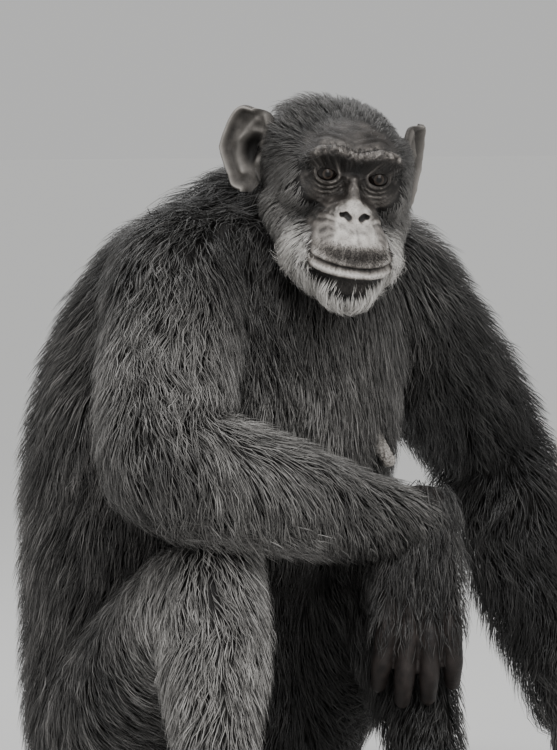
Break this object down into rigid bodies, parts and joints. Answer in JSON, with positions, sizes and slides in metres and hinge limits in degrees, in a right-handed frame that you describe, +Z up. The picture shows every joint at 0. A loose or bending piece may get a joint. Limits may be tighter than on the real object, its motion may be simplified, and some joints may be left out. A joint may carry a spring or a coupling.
{
  "type": "chimpanzee",
  "caption": "Life-size chimpanzee sitting on the floor, knees drawn up, one forearm laid over them and the other arm propped at its side.",
  "frame": {"origin": "middle of the model's box, at floor level", "axes": "+Z up, the animal faces -Y and its left side is +X"},
  "size_m": [0.8026, 0.6478, 0.7656],
  "materials": {
    "coat": "long coarse black hair with grey tips",
    "face": "bare wrinkled skin, dark at the brow, pale round the mouth",
    "hand": "bare dark skin",
    "eye": "wet and glossy"
  },
  "bodies": {
    "root": {"head": "face", "ear_right": "face", "ear_left": "face", "eye_right": "eye", "eye_left": "eye", "neck": "coat", "torso": "coat", "upper_arm_right": "coat", "forearm_right": "coat", "hand_right": "hand", "upper_arm_left": "coat", "forearm_left": "coat", "hand_left": "hand", "thigh_right": "coat", "shin_right": "coat", "foot_right": "hand", "thigh_left": "coat", "shin_left": "coat", "foot_left": "hand"}
  },
  "joints": []
}
